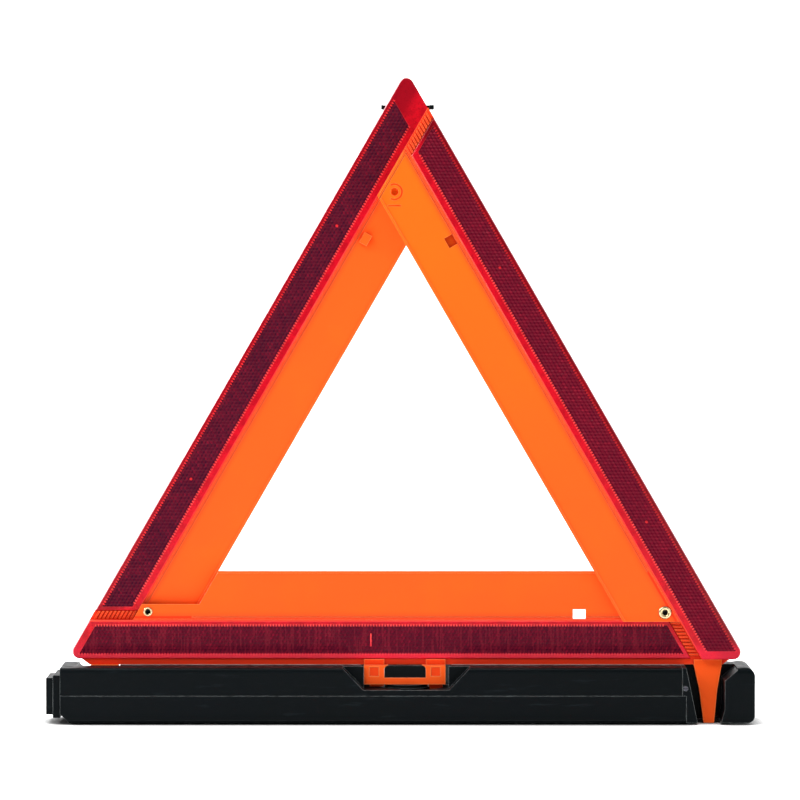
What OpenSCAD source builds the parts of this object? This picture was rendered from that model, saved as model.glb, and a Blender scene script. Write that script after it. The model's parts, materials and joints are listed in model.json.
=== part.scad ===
// Folding warning triangle on a weighted base that swivels crosswise.
// Three reflector bars sit in three layers: right arm in front, bottom bar, left arm behind.
// X runs along the base, Y points to the rear and Z points up.
// The origin is the middle of the base's footprint, on the ground.

/* [Triangle] */
// Side of the triangle between its sharp outer corners
side = 450; // [446:1:452]
// Height of the triangle's lowest outer line above the ground
outer_z = 41.7; // [41.7:0.1:44]
// Width of each bar
bar_w = 58; // [56:0.5:60]
// Width of each red reflector strip
lens_w = 25.4; // [25:0.1:26]
// Gap between a reflector's end and the next bar's reflector
lens_gap = 6; // [5:0.1:7]
// Radius of the rounded corners
corner_r = 5; // [4:0.5:6]

/* [Bar section] */
// Thickness of a bar's orange core
core_t = 2.4; // [2.2:0.1:2.6]
// Thickness of one reflector strip
lens_t = 2; // [1.8:0.1:2]
// Thickness of a reflector's outer face
lens_face_t = 1; // [0.8:0.1:1.2]
// Width of the rim that joins a reflector to the core
lens_rim = 1.6; // [1.2:0.1:2]
// Distance between the middles of neighbouring bar layers
layer_pitch = 7; // [7:0.1:8]
// Depth of the flange below the bottom bar
flange_h = 4; // [3.8:0.1:4]
// Width of the raised rim along a bar's inner edge
rim_w = 1.4; // [1:0.1:2]
// Height of that rim above the core's face
rim_h = 0.6; // [0.4:0.1:0.8]
// Width of the bead between a reflector and the orange panel
bead_w = 0.8; // [0.6:0.1:0.8]
// Width of the groove beside the bead
groove_w = 0.7; // [0.5:0.1:0.8]
// Depth of that groove
groove_t = 0.5; // [0.3:0.1:0.6]

/* [Pivots] */
// Distance of each fold pivot from both outer lines
pivot_inset = 31; // [31:0.5:32]
// Radius of a tubular eyelet's shank
eyelet_r = 2.4; // [2.2:0.1:2.5]
// Radius of the hole in an eyelet, open to the front and closed behind
eyelet_bore_r = 1.6; // [1.4:0.1:1.7]
// Radius of an eyelet's formed head
eyelet_head_r = 4.4; // [4:0.1:4.5]
// Radius of an eyelet's rolled tail
eyelet_tail_r = 3.2; // [3:0.1:3.4]
// Radial play of an arm on its eyelet
pivot_play = 0.06; // [0.04:0.01:0.1]

/* [Storage and snap] */
// Distance of the storage stud from the left arm's pivot-end corner, along the arm
store_along = 339.8; // [338:0.1:341]
// Distance of the storage stud from the left arm's outer line
store_inset = 32.6; // [32.4:0.1:33]
// Distance of the right arm's square socket from its own corner, along the arm
socket_along = 337.4; // [335:0.1:340]
// Distance of the apex snap from the left outer line
snap_left = 33.5; // [33.5:0.1:34]
// Distance of the apex snap from the right outer line
snap_right = 47; // [46:0.5:48]
// Radius of the apex snap stud
snap_r = 2.5; // [2.3:0.1:2.5]

/* [Base] */
// Full length of the base
base_l = 467.5; // [467:0.5:470]
// Depth of the base, front to back
base_d = 52; // [52:1:56]
// Height of the base's top face
base_h = 37.4; // [37:0.1:37.4]
// Height of the parting line between the two shells
parting_z = 19; // [19:0.1:19.4]
// Wall thickness of the shells
wall = 2.4; // [2:0.1:2.6]
// Height of the cover's underside, so the rubber feet stand proud
under_z = 1.2; // [1:0.1:1.4]
// Distance of the swivel axis from the base's middle
axis_x = 4.1; // [4:0.1:4.2]

/* [Swivel] */
// Radius of the round pocket that the bracket turns in
pocket_r = 30.5; // [30.5:0.1:31]
// Height of the pocket's floor
floor_z = 22.9; // [22.8:0.1:23]
// Half width of the front recess at the top
recess_top = 42; // [40:0.5:44]
// Half width of the front recess at its floor
recess_low = 28.2; // [28:0.1:29]
// Radius of the swivel bolt
bolt_r = 3; // [3:0.1:3.1]
// Radial play of the bolt in the base's bushing
bolt_play = 0.06; // [0.04:0.01:0.1]
// Angle that the base swivels through
swivel_angle = 90; // [90:1:90]

/* [Legs] */
// Distance of each leg from the swivel axis
leg_x = 200; // [199:0.5:201]
// Width of a leg at the flange
leg_top_w = 18.4; // [17:0.1:18.6]
// Width of a leg at the ground
leg_tip_w = 6.9; // [6:0.1:8]
// Clearance between a leg's tip and the ground
leg_tip_z = 0.3; // [0.2:0.1:0.6]
// How far a leg leans out from the triangle's plane
leg_lean = 12; // [10:0.5:13]

/* [Hidden] */
$fn = 48;

ORANGE = [0.99, 0.40, 0.16];
RED = [0.55, 0.08, 0.14];
BLACK = [0.09, 0.12, 0.13];
RUBBER = [0.05, 0.05, 0.05];
STEEL = [0.72, 0.73, 0.75];
BRASS = [0.80, 0.70, 0.45];
BALLAST = [0.35, 0.35, 0.37];

over = 1;                           // extra length that makes a cut pass right through
touch = 0.05;                       // air left between faces that slide on each other
corner_angle = 60;
in_radius = side / (2 * tan(corner_angle));
core_end = lens_w - 0.4;            // a core reaches just under the next bar's reflector
lens_end = lens_w + lens_gap;       // a reflector stops this far from it
pivot_u = pivot_inset / tan(corner_angle / 2);
face = core_t / 2;                  // height of a core's face above its middle

// ---------- Bars: u along the bar from its own corner, v inwards, w towards the front ----------

BOTTOM = 0;
RIGHT = 1;
LEFT = 2;

// Place along the bar of a point at height v that is d from the outer line of the bar before it
function near_u(d, v) = (d + v * cos(corner_angle)) / sin(corner_angle);
// The same, measured from the outer line of the bar after it
function far_u(d, v) = side - near_u(d, v);

// Puts a bar's own frame in the triangle: each bar is the one before it turned by a third
module in_bar(bar) {
    layers = [0, -layer_pitch, layer_pitch];
    translate([axis_x, layers[bar], outer_z + in_radius])
        rotate([0, -120 * bar, 0])
            translate([-side / 2, 0, -in_radius])
                rotate([90, 0, 0])
                    children();
}

// The part of a bar between heights v0 and v1, mitred at both ends
module strip(v0, v1, near, far) {
    polygon([[near_u(near, v0), v0], [far_u(far, v0), v0], [far_u(far, v1), v1], [near_u(near, v1), v1]]);
}

// A reflector strip: rounded at its own corner, mitred parallel to the next bar at the other end
module reflector_outline(far) {
    tangent = corner_r / tan(corner_angle / 2);
    rounding = [for (a = [150 : 10 : 270]) [tangent + corner_r * cos(a), corner_r + corner_r * sin(a)]];
    ends = [[far_u(far, 0), 0], [far_u(far, lens_w), lens_w], [near_u(0, lens_w), lens_w]];
    polygon(concat(rounding, ends));
}

// Fine rungs across the band between two reflectors, on both faces of a core
module rungs() {
    rung_w = 1;
    rung_h = 1.4;
    rung_pitch = 2.3;
    margin = [1, 0.4];              // bare strips beside the next reflector and beside this one
    from = core_end + margin[0];
    to = lens_end - margin[1];
    linear_extrude(core_t + 2 * rung_h, center = true)
        for (v = [rung_pitch : rung_pitch : lens_w - rung_pitch])
            polygon([[far_u(from, v), v], [far_u(to, v), v],
                     [far_u(to, v + rung_w), v + rung_w], [far_u(from, v + rung_w), v + rung_w]]);
}

// A line along the reflector and round the bar's far end, set in from the panel's edges
module edge_line(inset, width, near) {
    difference() {
        strip(lens_w + inset, bar_w, near, core_end + inset);
        strip(lens_w + inset + width, bar_w + over, near - over, core_end + inset + width);
    }
}

// The groove in both faces of a core
module grooves(near) {
    inset = bead_w + 1;
    for (w = [-face - over, face - groove_t])
        translate([0, 0, w]) linear_extrude(groove_t + over) edge_line(inset, groove_w, near);
}

// Orange core of an arm, without its holes
module arm_core() {
    rungs();
    difference() {
        union() {
            linear_extrude(core_t, center = true) {
                reflector_outline(core_end);
                strip(lens_w, bar_w, core_end, core_end);
            }
            linear_extrude(core_t + 2 * rim_h, center = true) {
                strip(bar_w - rim_w, bar_w, core_end, core_end);
                edge_line(0, bead_w, core_end);
            }
        }
        grooves(bar_w);
    }
}

// Red reflector: a shallow tray whose rim sits on the core; side_sign is 1 in front and -1 behind
module reflector(side_sign) {
    solid_tip = 12;
    mirror([0, 0, side_sign < 0 ? 1 : 0])
        translate([0, 0, face])
            difference() {
                linear_extrude(lens_t) reflector_outline(lens_end);
                translate([0, 0, -over])
                    linear_extrude(lens_t - lens_face_t + over)
                        strip(lens_rim, lens_w - lens_rim, solid_tip, lens_end + lens_rim);
            }
}

module hole(u, v, r) {
    translate([u, v, -layer_pitch]) cylinder(h = 2 * layer_pitch, r = r);
}

// ---------- Bottom bar ----------

bracket_x = [-28, 26];              // the bracket's sides, from the swivel axis
bracket_z = 25.2;                   // underside of its crossbar
bracket_half_d = 9.5;
window_x = [-14.5, 13];
window_z = 29.6;
flange_z = outer_z - flange_h;
tongue_w = 9;                       // panel tongues that plug into the bracket's posts
tongue_x = [-26, 15];
tongue_z = 30;
tab_v = 36;                         // top of the tab that carries the left pivot
end_inset = 13;                     // the flange's lower corners stay this far from the outer lines

module bottom_outline() {
    hidden_v = 20;                  // height of the carrier behind the right arm's reflector
    reflector_outline(core_end);
    strip(lens_w, tab_v, core_end, core_end);
    strip(tab_v, bar_w, bar_w, core_end);
    polygon([[far_u(core_end + over, 0), 0], [far_u(end_inset, 0), 0],
             [far_u(end_inset, hidden_v), hidden_v], [far_u(core_end + over, hidden_v), hidden_v]]);
    low_u = near_u(end_inset, 0);
    high_u = corner_r / tan(corner_angle / 2) + over;
    polygon([[low_u, -flange_h], [side - low_u, -flange_h], [side - high_u, 0],
             [side - low_u, over], [low_u, over], [high_u, 0]]);
    for (x = tongue_x)
        translate([side / 2 + x, tongue_z - outer_z])
            square([tongue_w, outer_z - tongue_z]);
}

// Rectangular hole that takes the left arm's storage stud
module storage_hole() {
    hole_w = 8.4;
    hole_h = 6.4;
    translate([store_along - hole_w / 2, 2 * pivot_inset - store_inset - hole_h / 2, -core_t])
        cube([hole_w, hole_h, 2 * core_t]);
}

// Slot, open at the top, that lets the apex stud swing down past the panel
module stud_slot() {
    swing_r = norm([side - near_u(snap_right, snap_left) - pivot_u, snap_left - pivot_inset]);
    clear = snap_r + 0.8;
    slot_low = 2 * pivot_inset - snap_left - clear;
    intersection() {
        translate([pivot_u, pivot_inset, -core_t])
            difference() {
                cylinder(h = 2 * core_t, r = swing_r + clear, $fn = 180);
                translate([0, 0, -over]) cylinder(h = 2 * core_t + 2 * over, r = swing_r - clear, $fn = 180);
            }
        translate([side / 2, max(slot_low, lens_w), -layer_pitch])
            cube([side / 2, bar_w, 2 * layer_pitch]);
    }
}

// Orange core of the bottom bar: flange, bracket tongues, pivot tab and the carrier for the front leg
module bottom_panel() {
    color(ORANGE) in_bar(BOTTOM)
        difference() {
            union() {
                rungs();
                linear_extrude(core_t, center = true) bottom_outline();
                linear_extrude(core_t + 2 * rim_h, center = true) {
                    strip(bar_w - rim_w, bar_w, bar_w, core_end);
                    edge_line(0, bead_w, core_end);
                }
            }
            grooves(bar_w);
            hole(pivot_u, pivot_inset, eyelet_r);
            hole(side - pivot_u, pivot_inset, eyelet_r);
            storage_hole();
            stud_slot();
        }
}

module bottom_lens_front() { color(RED) in_bar(BOTTOM) reflector(1); }
module bottom_lens_rear() { color(RED) in_bar(BOTTOM) reflector(-1); }

eyelet_head_w = layer_pitch + face + touch;
eyelet_floor = 0.8;                 // thickness of an eyelet's closed end

// Closed-end eyelet: shank, formed head beyond the arm and rolled tail on the bottom panel
module eyelet(bore_from, bore_to) {
    tail_t = 1;
    head_t = 1.2;
    head_slope = 0.8;
    difference() {
        union() {
            translate([0, 0, -face - tail_t]) cylinder(h = tail_t, r = eyelet_tail_r);
            translate([0, 0, -face]) cylinder(h = eyelet_head_w + face, r = eyelet_r);
            translate([0, 0, eyelet_head_w])
                cylinder(h = head_t, r1 = eyelet_head_r, r2 = eyelet_head_r - head_slope);
        }
        translate([0, 0, bore_from]) cylinder(h = bore_to - bore_from, r = eyelet_bore_r);
    }
}

module pivot_spacer() {
    spacer_r = 4.6;
    spacer_l = layer_pitch - core_t - touch;
    translate([0, 0, face])
        difference() {
            cylinder(h = spacer_l, r = spacer_r);
            translate([0, 0, -over]) cylinder(h = spacer_l + 2 * over, r = eyelet_r);
        }
}

// The right pivot's pieces point forwards and the left pivot's point backwards
module at_right_pivot() { in_bar(BOTTOM) translate([side - pivot_u, pivot_inset, 0]) children(); }
module at_left_pivot() { in_bar(BOTTOM) translate([pivot_u, pivot_inset, 0]) mirror([0, 0, 1]) children(); }

module right_eyelet() { color(BRASS) at_right_pivot() eyelet(eyelet_floor - face, 2 * layer_pitch); }
module left_eyelet() { color(BRASS) at_left_pivot() eyelet(-layer_pitch, eyelet_head_w - eyelet_floor); }
module right_pivot_spacer() { color(BLACK) at_right_pivot() pivot_spacer(); }
module left_pivot_spacer() { color(BLACK) at_left_pivot() pivot_spacer(); }

// ---------- Swivel ----------

thrust_r = 14.4;                    // radius of the washer that the cage turns on
tooth_x = [15.5, 24.2];
tooth_half_d = 2.2;
tooth_z = 21.6;
groove_z = 21.2;

module span_cube(x, y, z) {
    translate([x[0], y[0], z[0]]) cube([x[1] - x[0], y[1] - y[0], z[1] - z[0]]);
}

arch_r = 2.5;                       // radius of the window's upper corners

// Outline of the cage's window, or of a piece that fits it with a gap all round
module window_outline(gap) {
    low = [window_x[0] + gap, window_z];
    high = [window_x[1] - gap, flange_z - gap];
    translate(low) square([high[0] - low[0], high[1] - low[1] - arch_r]);
    translate([low[0] + arch_r, low[1]]) square([high[0] - low[0] - 2 * arch_r, high[1] - low[1]]);
    for (x = [low[0] + arch_r, high[0] - arch_r])
        translate([x, high[1] - arch_r]) circle(arch_r);
}

// Orange cage: two posts, a crossbar and the tooth that stops the swivel
module swivel_bracket() {
    saddle_half_d = 3.6;
    saddle_z = outer_z - 0.3;       // just clear of the reflectors' lower edge
    recess = 0.8;
    panel_w = 6.4;
    panel_z = [30.5, 36.8];
    slide_x = thrust_r + 0.3;       // two feet beside the thrust washer steady the cage
    slide_gap = 0.3;
    post_mid = [(bracket_x[0] + window_x[0]) / 2, (bracket_x[1] + window_x[1]) / 2];
    color(ORANGE) translate([axis_x, 0, 0])
        difference() {
            union() {
                span_cube(bracket_x, [-bracket_half_d, bracket_half_d], [bracket_z, flange_z]);
                for (x = [[bracket_x[0], window_x[0]], [window_x[1], bracket_x[1]]])
                    span_cube(x, [-saddle_half_d, saddle_half_d], [flange_z, saddle_z]);
                span_cube(tooth_x, [-tooth_half_d, tooth_half_d], [tooth_z, bracket_z]);
                for (x = [[-tooth_x[1], -slide_x], [slide_x, tooth_x[1]]])
                    span_cube(x, [-tooth_half_d, tooth_half_d], [floor_z + slide_gap, bracket_z]);
            }
            across([-bracket_half_d - over, bracket_half_d + over]) {
                window_outline(0);
                translate([window_x[0] + arch_r, flange_z - over])
                    square([window_x[1] - window_x[0] - 2 * arch_r, 2 * over]);
            }
            for (x = tongue_x)
                span_cube([x, x + tongue_w], [-face, face], [tongue_z, outer_z]);
            span_cube([bracket_x[0] - over, bracket_x[1] + over], [-face, face], [flange_z, outer_z]);
            for (x = post_mid, y = [-bracket_half_d, bracket_half_d])
                span_cube([x - panel_w / 2, x + panel_w / 2], [y - recess, y + recess], panel_z);
            translate([0, 0, bracket_z - over]) cylinder(h = window_z, r = bolt_r);
        }
}

bolt_head_z = 33;
bolt_head_h = 3.2;
hex_af = 10;
bolt_low_z = 12.5;

// Black block that fills the cage and holds the bolt's head
module swivel_block() {
    side_gap = 0.1;
    block_front_y = -8.4;
    head_seat_r = hex_af / 2 / cos(30) + 0.7;
    color(BLACK) translate([axis_x, 0, 0])
        difference() {
            across([block_front_y, bracket_half_d - side_gap]) window_outline(side_gap);
            translate([0, 0, bolt_head_z]) cylinder(h = bolt_head_h + over, r = head_seat_r);
            cylinder(h = flange_z, r = bolt_r);
        }
}

module hexagon(h) { cylinder(h = h, r = hex_af / 2 / cos(30), $fn = 6); }

module swivel_bolt() {
    color(STEEL) translate([axis_x, 0, 0]) {
        translate([0, 0, bolt_low_z]) cylinder(h = bolt_head_z - bolt_low_z, r = bolt_r);
        translate([0, 0, bolt_head_z]) hexagon(bolt_head_h);
    }
}

bushing_flange_t = 1;
bushing_low_z = floor_z - 4;        // the bushing's flange sits below the pocket floor
nut_h = 5;

module swivel_nut() {
    nut_z = bushing_low_z - 2 * touch - nut_h;
    color(STEEL) translate([axis_x, 0, nut_z])
        difference() {
            hexagon(nut_h);
            translate([0, 0, -over]) cylinder(h = nut_h + 2 * over, r = bolt_r);
        }
}

washer_r = 7;
thrust_t = 1.1;                     // thickness of the thrust washer under the spring washer

// Plastic thrust washer that the cage turns on, with a seat for the spring washer
module thrust_washer() {
    seat_r = washer_r + 0.4;
    height = bracket_z - floor_z - 2 * touch;
    color(BLACK) translate([axis_x, 0, floor_z + touch])
        difference() {
            cylinder(h = height, r = thrust_r);
            translate([0, 0, thrust_t]) cylinder(h = height, r = seat_r);
            translate([0, 0, -over]) cylinder(h = height, r = bolt_r);
        }
}

// Conical spring washer that keeps the swivel from rattling
module spring_washer() {
    sheet_t = 0.5;
    low = floor_z + touch + thrust_t;
    rise = bracket_z - low - sheet_t;
    color(STEEL) translate([axis_x, 0, low])
        rotate_extrude()
            polygon([[bolt_r, rise], [washer_r, 0], [washer_r, sheet_t], [bolt_r, rise + sheet_t]]);
}

// ---------- Legs ----------

leg_tip_t = 6;

// One leg sits against a face of the flange; turn is 0 for the front right one, 180 for the rear left one
module leg(turn) {
    top_half_d = 4;
    plate_z = [flange_z - 1.4, outer_z - 0.5];
    waist_z = 22;
    waist_w = 12;
    rotate([0, 0, turn]) {
        span_cube([leg_x - leg_top_w / 2, leg_x + leg_top_w / 2], [-top_half_d, -face], plate_z);
        intersection() {
            translate([leg_x, base_d / 2, 0]) rotate([90, 0, 0]) linear_extrude(base_d)
                polygon([[-leg_tip_w / 2, leg_tip_z], [leg_tip_w / 2, leg_tip_z],
                         [waist_w / 2, waist_z], [leg_top_w / 2, flange_z],
                         [-leg_top_w / 2, flange_z], [-waist_w / 2, waist_z]]);
            translate([leg_x - leg_top_w, 0, 0]) rotate([90, 0, 90]) linear_extrude(2 * leg_top_w)
                polygon([[-leg_lean - leg_tip_t / 2, leg_tip_z], [-leg_lean + leg_tip_t / 2, leg_tip_z],
                         [top_half_d, flange_z], [-top_half_d, flange_z]]);
        }
    }
}

module front_leg() { color(ORANGE) translate([axis_x, 0, 0]) leg(0); }
module rear_leg() { color(ORANGE) translate([axis_x, 0, 0]) leg(180); }

// ---------- Arms ----------

store_boss_w = 7.4;
store_boss_h = 5.4;
snap_left_bar = [near_u(snap_right, snap_left), snap_left];
snap_right_bar = [far_u(snap_left, snap_right), snap_right];

// Left arm: square storage boss that stops just short of the bottom panel's back face
module left_panel() {
    boss_l = layer_pitch - core_t - 4 * touch;
    color(ORANGE) in_bar(LEFT)
        difference() {
            union() {
                arm_core();
                translate([side - store_along - store_boss_w / 2, store_inset - store_boss_h / 2, face])
                    cube([store_boss_w, store_boss_h, boss_l]);
            }
            hole(side - pivot_u, pivot_inset, eyelet_r + pivot_play);
            hole(snap_left_bar[0], snap_left_bar[1], snap_r);
        }
}

module left_lens_front() { color(RED) in_bar(LEFT) reflector(1); }
module left_lens_rear() { color(RED) in_bar(LEFT) reflector(-1); }

// Snap stud that reaches forwards from the left arm to the right arm's socket
module apex_stud() {
    reach = layer_pitch + face + 0.8;
    tip_h = 0.6;
    tip_r = 2.2;
    head_r = 4;
    head_t = 1.2;
    color(ORANGE) in_bar(LEFT) translate([snap_left_bar[0], snap_left_bar[1], 0]) {
        translate([0, 0, -face - head_t]) cylinder(h = head_t, r = head_r);
        translate([0, 0, -face]) cylinder(h = reach + face - tip_h, r = snap_r);
        translate([0, 0, reach - tip_h]) cylinder(h = tip_h, r1 = snap_r, r2 = tip_r);
    }
}

// Dark clip across the tip, hooked over both edges of the left arm's rear reflector
module apex_clip() {
    clip_x = [-16.6, 18.4];
    hook_x = 15.3;
    clip_z = [405.5, 408.5];
    back_y = layer_pitch + face + lens_t;
    clip_t = 1.6;
    hook_y = layer_pitch - face - lens_t + 2 * touch;
    color(BLACK) translate([axis_x, 0, 0]) {
        span_cube(clip_x, [back_y, back_y + clip_t], clip_z);
        span_cube([clip_x[0], -hook_x], [hook_y, back_y], clip_z);
        span_cube([hook_x, clip_x[1]], [hook_y, back_y], clip_z);
    }
}

// Slots that leave the snap socket on a spring tongue, with a short dash beside them
module tongue_slots() {
    slot_w = 1.1;
    slot_r = 5.6;
    root_angle = 120;
    dash = [9, slot_w];
    dash_away = 8.6;
    translate([snap_right_bar[0], snap_right_bar[1], -core_t])
        rotate([0, 0, corner_angle]) {
            rotate([0, 0, root_angle / 2])
                rotate_extrude(angle = 360 - root_angle)
                    translate([slot_r - slot_w, 0]) square([slot_w, 2 * core_t]);
            translate([-dash[0] / 2, dash_away, 0]) cube([dash[0], dash[1], 2 * core_t]);
        }
}

// Right arm: snap socket on a spring tongue at its top end, and a square cup open to the front
module right_panel() {
    pocket = [7.4, 6.2];
    pocket_at = [socket_along - pocket[0] / 2, pivot_inset - pocket[1] / 2];
    cup_wall = 1;
    cup_depth = 3.8;
    cup_back = face - cup_depth - cup_wall;
    socket_r = 4.2;
    socket_bore_r = snap_r + 0.2;
    color(ORANGE) in_bar(RIGHT)
        difference() {
            union() {
                arm_core();
                translate([snap_right_bar[0], snap_right_bar[1], -face - lens_t])
                    cylinder(h = lens_t, r = socket_r);
                translate([pocket_at[0] - cup_wall, pocket_at[1] - cup_wall, cup_back])
                    cube([pocket[0] + 2 * cup_wall, pocket[1] + 2 * cup_wall, cup_depth]);
            }
            hole(pivot_u, pivot_inset, eyelet_r + pivot_play);
            hole(snap_right_bar[0], snap_right_bar[1], socket_bore_r);
            tongue_slots();
            translate([pocket_at[0], pocket_at[1], face - cup_depth])
                cube([pocket[0], pocket[1], cup_depth + over]);
        }
}

module right_lens_front() { color(RED) in_bar(RIGHT) reflector(1); }
module right_lens_rear() { color(RED) in_bar(RIGHT) reflector(-1); }

// ---------- Base ----------

end_x = base_l / 2;
body_x = -224;                      // left end of the two shells
seam_up = 186;                      // end cap's seam above and below the parting line
seam_low = 188.6;
upper_half_d = base_d / 2 - 0.6;    // the upper shell is set back to leave a ledge
lower_half_d = base_d / 2;
edge_r = 3;
screw_x = [-172, -42, 50, 180];
screw_y = 15;
foot_x = 150;
foot_y = 14;
foot_r = 8;
foot_h = 2 * under_z;
cap_screw_x = 188;
cap_screw_z = 24;
cap_screw_head = [1.6, 1];          // radius and height
sleeve_r = bolt_r + 2;              // outside of the bushing that the bolt turns in

// Runs a section drawn in Y and Z from x[0] to x[1]
module run(x) {
    translate([x[0], 0, 0]) rotate([90, 0, 90]) linear_extrude(x[1] - x[0]) children();
}

// Runs an outline drawn in X and Z from y[0] to y[1]
module across(y) {
    translate([0, y[1], 0]) rotate([90, 0, 0]) linear_extrude(y[1] - y[0]) children();
}

// Section with rounded top edges
module top_section(half_d, z0, z1, r) {
    arc = [for (a = [0 : 10 : 90]) [half_d - r + r * cos(a), z1 - r + r * sin(a)]];
    mirrored = [for (a = [90 : 10 : 180]) [-half_d + r + r * cos(a), z1 - r + r * sin(a)]];
    polygon(concat([[half_d, z0]], arc, mirrored, [[-half_d, z0]]));
}

notch_top = [leg_x - 15.5, leg_x + 18.2];

// Leg notch outline around a leg that hangs at leg_x; it is open at the top and bottom
module notch_outline() {
    low = -over;
    high = base_h + 2 * over;
    foot = [leg_x - 7.6, leg_x + 6.7];
    waist_x = leg_x + 9.8;
    waist_z = [10, 29];
    slope_z = 36;
    polygon([[foot[0], low], [foot[1], low], [waist_x, waist_z[0]], [waist_x, waist_z[1]],
             [notch_top[1], slope_z], [notch_top[1], high], [notch_top[0], high], [notch_top[0], base_h]]);
}

notch_back = 6;                     // a notch is cut from one face of the base to just past the middle

// The right notch opens to the front; turned by 180 it is the left one, open to the rear
module leg_notch(turn) {
    translate([axis_x, 0, 0]) rotate([0, 0, turn]) across([-base_d, notch_back]) notch_outline();
}

// The left notch, which keeps all the material that the rear leg swings clear of
module rear_notch() {
    swing_gap = 1;
    difference() {
        leg_notch(180);
        on_axis() translate([0, 0, -over])
            cylinder(h = 2 * base_h, r = leg_x - leg_top_w / 2 - swing_gap, $fn = 180);
    }
}

// Thin floor in the right notch, behind the front leg's tip
module notch_floor() {
    floor_h = 2.4;
    on_axis() span_cube([leg_x - leg_top_w, leg_x + leg_top_w],
                        [-leg_lean + leg_tip_t / 2 + over, base_d], [-over, floor_h]);
}

// Walls around the rear left notch, where it passes through the two shells
module notch_walls(z) {
    x = [axis_x - notch_top[1] - wall, axis_x - notch_top[0] + wall];
    span_cube(x, [-notch_back - wall, upper_half_d], z);
}

module at_screws() {
    for (x = screw_x, y = [-screw_y, screw_y]) translate([x, y, 0]) children();
}

module on_axis() { translate([axis_x, 0, 0]) children(); }

// Arc groove in the pocket floor for the bracket's tooth; its ends stop the swivel
module stop_groove() {
    inner_r = tooth_x[0] - 0.6;
    outer_r = norm([tooth_x[1], tooth_half_d]) + 0.4;
    end_play = 3;
    half_angle = atan2(tooth_half_d, tooth_x[0]);
    first = half_angle + end_play;
    last = -swivel_angle - half_angle - end_play;
    rotate([0, 0, last])
        rotate_extrude(angle = first - last, $fn = 96)
            translate([inner_r, groove_z]) square([outer_r - inner_r, floor_z - groove_z + over]);
}

tab_z = [20.5, 27.5];
tab_y = [16, 23];
tab_x = [178, 189.2];
tab_play = 0.2;
pilot_r = 1.3;
cap_pilot_r = 1;

// Two tabs of the upper shell that reach into the end cap
module end_tabs(grow) {
    for (y = [-tab_y[1], tab_y[0]])
        span_cube([tab_x[0], tab_x[1] + grow], [y - grow, y + tab_y[1] - tab_y[0] + grow],
                  [tab_z[0] - grow, tab_z[1] + grow]);
}

module at_cap_screw(y) { translate([cap_screw_x, y, cap_screw_z]) rotate([-90, 0, 0]) children(); }

plug_y = 18;
plug_z = [8.5, 30.5];
plug_in = 6;

module plug_opening() {
    span_cube([body_x - over, body_x + plug_in], [-plug_y, plug_y], plug_z);
}

// Upper shell: swivel pocket, front recess, rear leg notch and screw bosses
module base_housing() {
    boss_r = 4;
    block_half = recess_top + 4;    // solid part that carries the recess's slopes
    block_y = -9;
    recess_y = -12;                 // back of the front recess
    floor_t = 3;                    // thickness under the pocket
    pilot_top = 32;
    ceiling = base_h - wall;
    ceiling_r = 1;
    color(BLACK)
        difference() {
            union() {
                difference() {
                    run([body_x, seam_up]) top_section(upper_half_d, parting_z, base_h, edge_r);
                    run([body_x + wall, seam_up - wall])
                        top_section(upper_half_d - wall, parting_z - over, ceiling, ceiling_r);
                }
                intersection() {
                    run([body_x, seam_up]) top_section(upper_half_d, floor_z - floor_t, base_h, edge_r);
                    union() {
                        on_axis() cylinder(h = base_h, r = pocket_r + wall, $fn = 96);
                        on_axis() span_cube([-block_half, block_half], [-upper_half_d, block_y], [0, base_h]);
                        notch_walls([0, base_h]);
                    }
                }
                notch_walls([parting_z, ceiling]);
                at_screws() translate([0, 0, parting_z]) cylinder(h = ceiling - parting_z, r = boss_r);
                end_tabs(0);
            }
            on_axis() translate([0, 0, floor_z]) cylinder(h = base_h, r = pocket_r, $fn = 96);
            on_axis() across([-base_d, recess_y])
                polygon([[-recess_low, floor_z], [recess_low, floor_z], [recess_top, base_h],
                         [recess_top, base_h + over], [-recess_top, base_h + over], [-recess_top, base_h]]);
            on_axis() stop_groove();
            on_axis() cylinder(h = base_h, r = sleeve_r);
            rear_notch();
            plug_opening();
            at_screws() cylinder(h = pilot_top, r = pilot_r);
            for (y = [-base_d / 2, tab_y[0] - over])
                at_cap_screw(y) cylinder(h = base_d / 2 - tab_y[0] + over, r = cap_pilot_r);
        }
}

// Lower shell: outline with the chamfered left end, ballast space, screw bosses and foot seats
module base_cover() {
    chamfer = 6;
    floor_top = under_z + wall;
    boss_r = 4.5;
    clear_r = 1.9;
    head_r = 3.6;
    head_seat = 6;
    edge = 1.5;
    color(BLACK)
        difference() {
            union() {
                difference() {
                    intersection() {
                        run([body_x, seam_low])
                            polygon([[-lower_half_d + edge, under_z], [lower_half_d - edge, under_z],
                                     [lower_half_d, under_z + edge], [lower_half_d, parting_z],
                                     [-lower_half_d, parting_z], [-lower_half_d, under_z + edge]]);
                        across([-base_d, base_d])
                            polygon([[body_x, under_z + chamfer], [body_x + chamfer, under_z],
                                     [seam_low, under_z], [seam_low, parting_z], [body_x, parting_z]]);
                    }
                    across([-lower_half_d + wall, lower_half_d - wall])
                        polygon([[body_x + wall, floor_top + chamfer], [body_x + wall + chamfer, floor_top],
                                 [seam_low - wall, floor_top], [seam_low - wall, parting_z + over],
                                 [body_x + wall, parting_z + over]]);
                }
                notch_walls([under_z, parting_z]);
                at_screws() translate([0, 0, under_z]) cylinder(h = parting_z - under_z, r = boss_r);
            }
            rear_notch();
            plug_opening();
            at_screws() cylinder(h = base_h, r = clear_r);
            at_screws() cylinder(h = head_seat, r = head_r);
            for (x = [-foot_x, foot_x], y = [-foot_y, foot_y])
                translate([x, y, 0]) cylinder(h = foot_h, r = foot_r);
        }
}

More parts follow.
